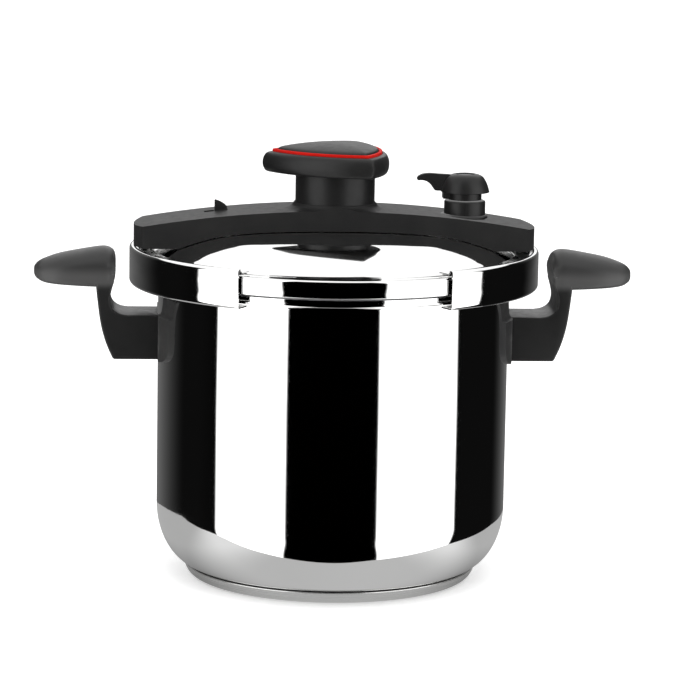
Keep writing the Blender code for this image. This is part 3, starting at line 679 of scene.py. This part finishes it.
def make_knob():
    """Triangular head on a round stem, its red ring, and the crowned grey cap."""
    body_low, body_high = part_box("knob_body")
    trim_low, trim_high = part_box("knob_trim_ring")
    cap_low, cap_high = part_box("knob_cap")
    wide = HEAD_CORNER_R
    recess_r = wide - 0.0056
    bore_r, bore_top = 0.0053, 0.2640
    side = curve_through([(wide - 0.0036, HEAD_LOW), (wide - 0.0018, HEAD_LOW + 0.0008),
                          (wide - 0.0004, HEAD_LOW + 0.0032), (wide, HEAD_LOW + 0.0062),
                          (wide - 0.0006, HEAD_LOW + 0.0092), (wide - 0.0024, HEAD_LOW + 0.0118),
                          (wide - 0.0052, body_high.z - 0.0006)], 4)
    body = barrel("knob", side)
    combine(body, cylinder("stem", STEM_R, body_low.z, HEAD_LOW + 0.0005, 128), "UNION")
    combine(body, prism("recess", knob_plan(recess_r), body_high.z - 0.0030, body_high.z + 0.01))
    combine(body, cylinder("bore", bore_r, 0.22, bore_top, 48))
    piece(body, BLACK, "black_plastic", "knob", "knob_body", angle=24)

    trim = prism("knob_ring", knob_plan(recess_r - 0.0006), trim_low.z, trim_high.z)
    combine(trim, prism("inside", knob_plan(recess_r - 0.0034), 0.26, 0.28))
    soften(trim, 0.00035, 3, 60)
    piece(trim, RED, "red_trim", "knob", "knob_trim_ring")

    cap_r = recess_r - 0.0040
    lip_r, lip_z = cap_r - 0.0005, trim_high.z + 0.0006
    crown = cap_high.z - lip_z
    rings = [(cap_r, cap_low.z), (cap_r, trim_high.z), (lip_r, lip_z)]
    for i in range(1, 21):
        share = (i / 20) ** 1.3
        rings.append((lip_r - share * (cap_r - 0.003),
                      lip_z + crown * math.sin(share * math.pi / 2) ** 0.62))
    piece(barrel("knob_top", rings), CAP_GREY, "grey_black_plastic", "knob", "knob_cap", angle=50)


# ------------------------------------------------------------------- valve
def make_regulator_cap():
    """Domed cap with its thumb lever and a small stop tab."""
    x, y = VALVE_XY
    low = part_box("regulator_cap")[0].z
    top = REGULATOR_TOP
    neck_r = 0.0105
    socket_r, socket_z = 0.0058, 0.2480
    loop = [(0.0, top - 0.0009), (0.0056, top - 0.0009), (0.0061, top - 0.0002)]
    loop += curve_through([(0.0066, top), (0.0086, top - 0.0004), (0.0108, top - 0.0015),
                           (0.0126, top - 0.0037), (0.0141, top - 0.0069),
                           (0.0152, top - 0.0103), (0.0154, top - 0.0111)], 5)
    loop += [(0.0150, top - 0.0114), (neck_r, top - 0.0114), (neck_r, low),
             (socket_r, low), (socket_r, socket_z), (0.0, socket_z)]
    cap = revolve("regulator", loop, 64, centre=VALVE_XY)
    upper = curve_through([(x - 0.0066, 0.2566), (x - 0.0100, 0.2573), (x - 0.0165, 0.2576),
                           (x - 0.0222, 0.2580), (x - 0.0268, 0.2575), (x - 0.0296, 0.2561),
                           (x - 0.0306, 0.2545)], 4)
    lower = curve_through([(x - 0.0300, 0.2534), (x - 0.0268, 0.2535), (x - 0.0240, 0.2526),
                           (x - 0.0216, 0.2505), (x - 0.0198, 0.2480), (x - 0.0176, 0.2470),
                           (x - 0.0070, 0.2472)], 4)
    lever_half_w, tab_half_w = 0.0021, 0.0050
    lever = prism("lever", upper + lower, y - lever_half_w, y + lever_half_w, "Y")
    soften(lever, 0.0006, 2, 50)
    combine(cap, lever, "UNION")
    tab = prism("tab", rectangle(x - 0.0140, top - 0.0154, x - 0.0098, top - 0.0100),
                y - tab_half_w, y + tab_half_w, "Y")
    combine(cap, tab, "UNION")
    piece(cap, BLACK, "black_plastic", "regulator", "regulator_cap", angle=35)
    cap.visible_glossy = False


def make_valve_housing():
    """Round housing through the bridge, with a low foot on the arched top."""
    x, y = VALVE_XY
    low, high = valve_low.z, valve_high.z
    edge = 0.0012
    outer_r, neck_r, throat_r = valve_high.x - x, 0.0086, 0.0046
    shoulder_z = 0.2280
    loop = [(throat_r, high)] + arc(outer_r - edge, high - edge, edge, 90, 0, 5)
    loop += [(outer_r, shoulder_z), (neck_r, shoulder_z), (neck_r, low), (throat_r, low)]
    housing = revolve("regulator_seat", loop, 64, centre=VALVE_XY)
    under_arch = arch_block("above", -GAP, 0.2200, 73)
    combine(under_arch, cylinder("bore", neck_r + 0.0002, 0.21, 0.26, 64, VALVE_XY))
    combine(housing, under_arch)
    rise = arch_height(x)
    foot = revolve("foot", [(0.0100, rise + 0.0024), (0.0128, rise + 0.0022),
                            (0.0150, rise + 0.0014), (0.0158, rise + 0.0006),
                            (0.0158, rise - 0.0004), (0.0100, rise - 0.0004)],
                   64, centre=(x - 0.0012, y + 0.0010))
    combine(foot, arch_block("above", -GAP, 0.2200, 73))
    combine(housing, foot, "UNION")
    piece(housing, BLACK, "black_plastic", "lid", "valve_housing", angle=35)
    housing.visible_glossy = False


def make_fin():
    """Indicator fin on its runner under the bridge's slot."""
    back = FIN_X - 0.0040
    bottom, top = 0.2272, fin_high.z
    half_t, runner_t = 0.0009, 0.0008
    slope = curve_through([(back + 0.0004, top), (back + 0.0030, top - 0.0009),
                           (back + 0.0058, top - 0.0024), (back + 0.0080, top - 0.0044)], 5)
    outline = [(back, bottom), (back + 0.0081, bottom)] + list(reversed(slope))
    outline += [(back, top - 0.0003)]
    fin = prism("indicator", outline, FIN_Y - half_t, FIN_Y + half_t, "Y")
    soften(fin, 0.0003, 2, 40)
    runner = prism("runner", rectangle(fin_low.x, fin_low.y, fin_high.x, fin_high.y),
                   fin_low.z, fin_low.z + runner_t)
    combine(fin, runner, "UNION")
    piece(fin, BLACK, "black_plastic", "indicator", "indicator_fin")


# ------------------------------------------------------------------ handles
def handle_outline():
    """Side view of the right handle's arm and neck, up into the grip."""
    neck = curve_through([(0.1388, 0.1401), (0.1428, 0.1490), (0.1457, 0.1583), (0.1475, 0.1677),
                          (0.1488, 0.1780), (0.1494, 0.1835), (0.1500, 0.1900)], 5)
    inner = curve_through([(0.1384, 0.1890), (0.1402, 0.1826), (0.1408, 0.1772), (0.1392, 0.1722),
                           (0.1352, 0.1692), (0.1300, 0.1681)], 6)
    return ([(0.1020, 0.1401)] + neck + [(0.1490, 0.1940), (0.1384, 0.1940)]
            + inner + [(0.1020, 0.1681)])


def height_at(x, line):
    """Height of a rising line of (x, z) points at x."""
    for (x0, z0), (x1, z1) in zip(line, line[1:]):
        if x <= x1:
            return z0 + (z1 - z0) * (x - x0) / (x1 - x0)
    return line[-1][1]


def make_grip(name, half_w):
    """Grip lofted along X, with a crowned top, soft shoulders and a squarish tip."""
    root, shoulder, body, tip = 0.1374, 0.1430, 0.1540, 0.1887
    top = curve_through([(root, 0.1995), (0.1377, 0.2034), (0.1390, 0.2068), (0.1426, 0.2089),
                         (0.1480, 0.2090), (0.1607, 0.2069), (0.1729, 0.2044), (0.1822, 0.2012),
                         (0.1862, 0.1990), (0.1882, 0.1968), (tip, 0.1952)], 8)
    under = curve_through([(root, 0.1955), (0.1380, 0.1900), (0.1400, 0.1860), (0.1440, 0.1849),
                           (0.1518, 0.1849), (0.1640, 0.1855), (0.1750, 0.1862),
                           (0.1822, 0.1872), (0.1866, 0.1892), (0.1882, 0.1910),
                           (tip, 0.1926)], 8)
    stations = [root + (shoulder - root) * (i / 12) ** 1.6 for i in range(12)]
    stations += [shoulder + (body - shoulder) * i / 8 for i in range(8)]
    stations += [body + (tip - body) * math.sin(math.pi / 2 * i / 30) for i in range(31)]
    count = 64
    narrowing = 0.1450      # the sides pull in from here to the root
    tip_power = 2.5         # squareness of the tip seen from above
    above, under_it = 2 / 2.15, 2 / 5.0     # and of the section, over and under its waist
    outlines = []
    for x in stations:
        beyond = max(0.0, (x - body) / (tip - body))
        before = max(0.0, (narrowing - x) / (narrowing - root))
        half = half_w * (1.0 - 0.16 * before ** 2.2)
        half = max(0.0006, half * max(0.0, 1.0 - beyond ** tip_power) ** (1 / tip_power))
        high, low = height_at(x, top), height_at(x, under)
        waist = low + 0.42 * (high - low)
        outline = []
        for k in range(count):
            turn = 2 * math.pi * k / count
            across, up = math.cos(turn), math.sin(turn)
            squareness, reach = (above, high - waist) if up > 0 else (under_it, waist - low)
            outline.append((x, half * math.copysign(abs(across) ** squareness, across),
                            waist + reach * math.copysign(abs(up) ** squareness, up)))
        outlines.append(outline)
    return loft(name, outlines)


def saddle_front():
    """Outline of the saddle seen along X: a low block with two raised horns."""
    side = curve_through([(0.0330, 0.1408), (0.0400, 0.1428), (0.0445, 0.1470), (0.0462, 0.1530),
                          (0.0466, 0.1640), (0.0476, 0.1710), (0.0494, 0.1762),
                          (0.0520, 0.1815)], 5)
    side += curve_through([(0.0320, 0.1815), (0.0308, 0.1765), (0.0280, 0.1716),
                           (0.0222, 0.1683)], 5)
    return side + [(-y, z) for y, z in reversed(side)]


def make_handle(side, turn):
    """Arm and grip in one moulding, with its root cut to the pot's round."""
    half_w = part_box("handle_right")[1].y
    neck_w = half_w - 0.0006
    handle = prism("grip_" + side, handle_outline(), -neck_w, neck_w, "Y")
    soften(handle, 0.0016, 4, 34)
    combine(handle, make_grip("grip_top", half_w), "UNION")
    combine(handle, cylinder("root", HANDLE_ROOT_R, 0.13, 0.22))
    piece(turn(handle), PAINTED_SHEEN_BLACK, "black_plastic", "pot", "handle_" + side, angle=38)
    handle.visible_glossy = False


def make_saddle(side, turn):
    """Pad between the handle and the wall, with two horns up to the rim."""
    step_z, step_round = 0.1688, 0.0030
    plan = arc(0.0, 0.0, HANDLE_ROOT_R - GAP, 0.0, 10.0, 6)
    plan += curve_through([(0.1099, 0.0202), (0.1107, 0.0236), (0.1109, 0.0288), (0.1093, 0.0355),
                           (0.1059, 0.0437), (0.1024, 0.0515)], 5) + [(0.0900, 0.0540)]
    plan = [(x, -y) for x, y in reversed(plan[1:])] + plan
    saddle = prism("saddle_pad_" + side, plan, 0.1400, 0.1820)
    combine(saddle, prism("front", saddle_front(), 0.05, 0.15, "X"), "INTERSECT")
    scoop = arc(HORN_R + step_round, step_z + step_round, step_round, 180, 270, 7)
    scoop += [(0.13, step_z), (0.13, 0.19), (HORN_R, 0.19)]
    combine(saddle, revolve("shoulder", scoop, ROUND))
    soften(saddle, 0.0006, 3, 40)
    combine(saddle, cylinder("wall", WALL_R + GAP, 0.10, 0.22))
    piece(turn(saddle), SADDLE_PAINTED_LIGHT_BLACK, "black_plastic", "pot", "saddle_" + side, angle=38)
    saddle.visible_glossy = False


# ------------------------------------------------------- carried-over nodes
def dress_cad_nodes():
    """Give every CAD node that still shows its own procedural material."""
    looks = {"brushed_steel": SATIN, "polished_steel": STEEL, "aluminium": DISC_ALUMINIUM,
             "black_plastic": BLACK, "grey_black_plastic": CAP_GREY, "red_trim": RED,
             "silicone_rubber": RUBBER, "brass": BRASS}
    for entry in frame["record"]["subparts"]:
        node = nodes[entry["node"]]
        node.data.materials.clear()
        node.data.materials.append(looks[entry["material_slot"]])
    for name in ("steam_pipe", "pipe_nut", "regulator_needle"):
        nodes[name].visible_glossy = False


# ------------------------------------------------------------------- studio
CAMERA_DISTANCE = 2.107
CAMERA_ELEVATION = math.radians(9.68)
CAMERA_YAW = math.radians(4.05)
CAMERA_ROLL = math.radians(0.99)
AIM_SIDE = 0.01110
AIM_HEIGHT = 0.14375
LENS = 170.8


def make_camera():
    """Long lens at the photograph's viewing angle."""
    yaw, lift, roll = CAMERA_YAW, CAMERA_ELEVATION, CAMERA_ROLL
    back = Vector((-math.sin(yaw) * math.cos(lift), -math.cos(yaw) * math.cos(lift),
                   math.sin(lift)))
    right = Vector((math.cos(yaw), -math.sin(yaw), 0.0))
    up = back.cross(right)
    tilted_right = math.cos(roll) * right + math.sin(roll) * up
    tilted_up = -math.sin(roll) * right + math.cos(roll) * up
    aim = right * AIM_SIDE + Vector((0.0, 0.0, AIM_HEIGHT))
    lens = bpy.data.cameras.new("camera")
    lens.lens = LENS
    lens.sensor_width = 36.0
    lens.clip_start = 0.05
    camera = bpy.data.objects.new("camera", lens)
    bpy.context.scene.collection.objects.link(camera)
    turn = camera.matrix_world.copy()
    for row in range(3):
        turn[row][0] = tilted_right[row]
        turn[row][1] = tilted_up[row]
        turn[row][2] = back[row]
        turn[row][3] = (aim + back * CAMERA_DISTANCE)[row]
    camera.matrix_world = turn
    bpy.context.scene.camera = camera


WHITE_LEVEL = 1.05      # of the surroundings, for camera and diffuse rays

# What mirror rays see: levels, and the bearings of each board's two soft edges
CEILING_LEVEL = 1.15
BOARD_LEVEL = 1.9
SIDE_LEVEL = 0.004
LEFT_BACK_LEVEL = 0.16
RIGHT_BACK_LEVEL = 0.18
LEFT_BOARD = ((-81.5, -79.0), (-30.0, -28.0))
RIGHT_BOARD = ((30.0, 32.0), (88.5, 91.0))
# Rise of the direction where the boards give way to the white ceiling
FRONT_FLAG = 0.80
SIDE_FLAG = 0.50
BACK_FLAG = 0.04


def make_sky():
    """White studio for camera and diffuse rays; reflector boards for mirror rays."""
    world = bpy.data.worlds.new("studio")
    world.use_nodes = True
    bpy.context.scene.world = world
    tree = world.node_tree
    tree.nodes.clear()
    sums = Sums(tree)
    place = tree.nodes.new("ShaderNodeTexCoord")
    parts = tree.nodes.new("ShaderNodeSeparateXYZ")
    tree.links.new(place.outputs["Generated"], parts.inputs["Vector"])
    x, y, z = parts.outputs
    # Bearing in degrees: 0 towards the camera, positive to its right
    bearing = sums.math("ARCTAN2", x, sums.math("MULTIPLY", y, -1.0))
    bearing = sums.math("MULTIPLY", bearing, 180.0 / math.pi)
    bearing = sums.math("ADD", bearing, math.degrees(CAMERA_YAW))
    # Both boards draw back a little from the centre towards the floor
    spread = sums.step(z, -0.80, -0.28, 7.0, 0.0)
    left = sums.math("MULTIPLY", sums.step(bearing, *LEFT_BOARD[0]),
                     sums.step(sums.math("ADD", bearing, spread), *LEFT_BOARD[1], 1.0, 0.0))
    right = sums.math("MULTIPLY",
                      sums.step(sums.math("SUBTRACT", bearing, spread), *RIGHT_BOARD[0]),
                      sums.step(bearing, *RIGHT_BOARD[1], 1.0, 0.0))
    left_back = sums.step(bearing, -180.0, -112.0, LEFT_BACK_LEVEL, 0.0)
    right_back = sums.step(bearing, 132.0, 180.0, 0.0, RIGHT_BACK_LEVEL)
    boards = sums.math("ADD", left, right)
    boards = sums.math("MULTIPLY", boards, BOARD_LEVEL)
    boards = sums.math("ADD", boards, sums.math("ADD", left_back, right_back))
    away = sums.math("ABSOLUTE", bearing)
    boards = sums.math("ADD", boards, sums.step(away, 60.0, 100.0, 0.0, SIDE_LEVEL))
    edge = sums.math("ADD", sums.step(away, 34.0, 60.0, FRONT_FLAG, SIDE_FLAG),
                     sums.step(away, 152.0, 172.0, 0.0, BACK_FLAG - SIDE_FLAG))
    above = sums.step(sums.math("SUBTRACT", z, edge), 0.0, 0.05)
    walls = sums.math("MULTIPLY", boards, sums.math("SUBTRACT", 1.0, above))
    mirror = sums.math("ADD", walls, sums.math("MULTIPLY", above, CEILING_LEVEL))
    rays = tree.nodes.new("ShaderNodeLightPath")
    mix = tree.nodes.new("ShaderNodeMix")
    mix.data_type = "FLOAT"
    tree.links.new(rays.outputs["Is Glossy Ray"], mix.inputs["Factor"])
    mix.inputs["A"].default_value = WHITE_LEVEL
    tree.links.new(mirror, mix.inputs["B"])
    sky = tree.nodes.new("ShaderNodeBackground")
    sky.inputs["Color"].default_value = (1.0, 1.0, 1.0, 1.0)
    tree.links.new(mix.outputs["Result"], sky.inputs["Strength"])
    out = tree.nodes.new("ShaderNodeOutputWorld")
    tree.links.new(sky.outputs["Background"], out.inputs["Surface"])


def make_floor():
    """Wide white floor that glows a little, to meet the white surroundings."""
    look = Look("floor_card")
    look.colour(look.noise(3.0), (0.90, 0.90, 0.90), (0.93, 0.93, 0.93))
    look.roughness(look.noise(20.0), 0.7, 0.9)
    look.constant(Emission_Color=(1.0, 1.0, 1.0, 1.0), Emission_Strength=0.35)
    floor_r = 6.0
    floor = prism("floor", arc(0.0, 0.0, floor_r, 0, 357.5, 144), -0.012, -0.0005)
    floor.data.materials.append(look.material)
    floor.visible_glossy = False


def make_bounce_card():
    """Glowing card under the pot that only mirror rays see."""
    outline = curve_through([(-0.003, -0.139), (-0.055, -0.136), (-0.107, -0.126),
                             (-0.188, -0.099), (-0.238, -0.050), (-0.277, 0.045),
                             (-0.193, 0.176), (0.0, 0.230), (0.150, 0.180), (0.205, 0.080),
                             (0.198, -0.003), (0.158, -0.082), (0.105, -0.120),
                             (0.046, -0.139)], 6, True)
    look = Look("bounce_card")
    look.colour(look.noise(12.0), (0.008, 0.008, 0.008), (0.010, 0.010, 0.010))
    look.roughness(look.noise(20.0), 0.8, 0.9)
    across = look.tree.nodes.new("ShaderNodeSeparateXYZ")
    look.tree.links.new(look.place, across.inputs["Vector"])
    sums = Sums(look.tree)
    side = sums.math("ABSOLUTE", across.outputs["X"])
    glow = sums.math("ADD", sums.step(side, 0.060, 0.140, 0.49, 0.77),
                     sums.step(across.outputs["Y"], -0.092, -0.020, 0.0, -0.34))
    look.tree.links.new(glow, look.shader.inputs["Emission Strength"])
    look.constant(Emission_Color=(1.0, 1.0, 1.0, 1.0), Specular_IOR_Level=0.0)
    card = prism("bounce_card", outline, -0.0004, -0.0001)
    card.data.materials.append(look.material)
    card.visible_camera = False
    card.visible_diffuse = False
    card.visible_shadow = False


def make_softbox():
    """Large soft light high in front, aimed at the pot."""
    lamp = bpy.data.lights.new("top_softbox", "AREA")
    lamp.shape = "RECTANGLE"
    lamp.size = 1.6
    lamp.size_y = 1.6
    lamp.energy = 16.0
    light = bpy.data.objects.new("top_softbox", lamp)
    bpy.context.scene.collection.objects.link(light)
    light.location = (0.0, -0.6, 2.2)
    aim = Vector((0.0, 0.0, 0.15)) - light.location
    light.rotation_euler = aim.to_track_quat("-Z", "Y").to_euler()
    light.visible_glossy = False


make_camera()
make_sky()
make_floor()
make_bounce_card()
make_softbox()
dress_cad_nodes()
make_pot()
make_base()
make_lid()
make_bridge()
make_knob()
make_regulator_cap()
make_valve_housing()
make_fin()
for side_name, placing in (("right", unchanged), ("left", half_turned)):
    make_jaw(side_name, placing)
    make_handle(side_name, placing)
    make_saddle(side_name, placing)

bpy.context.scene.view_settings.view_transform = "Standard"
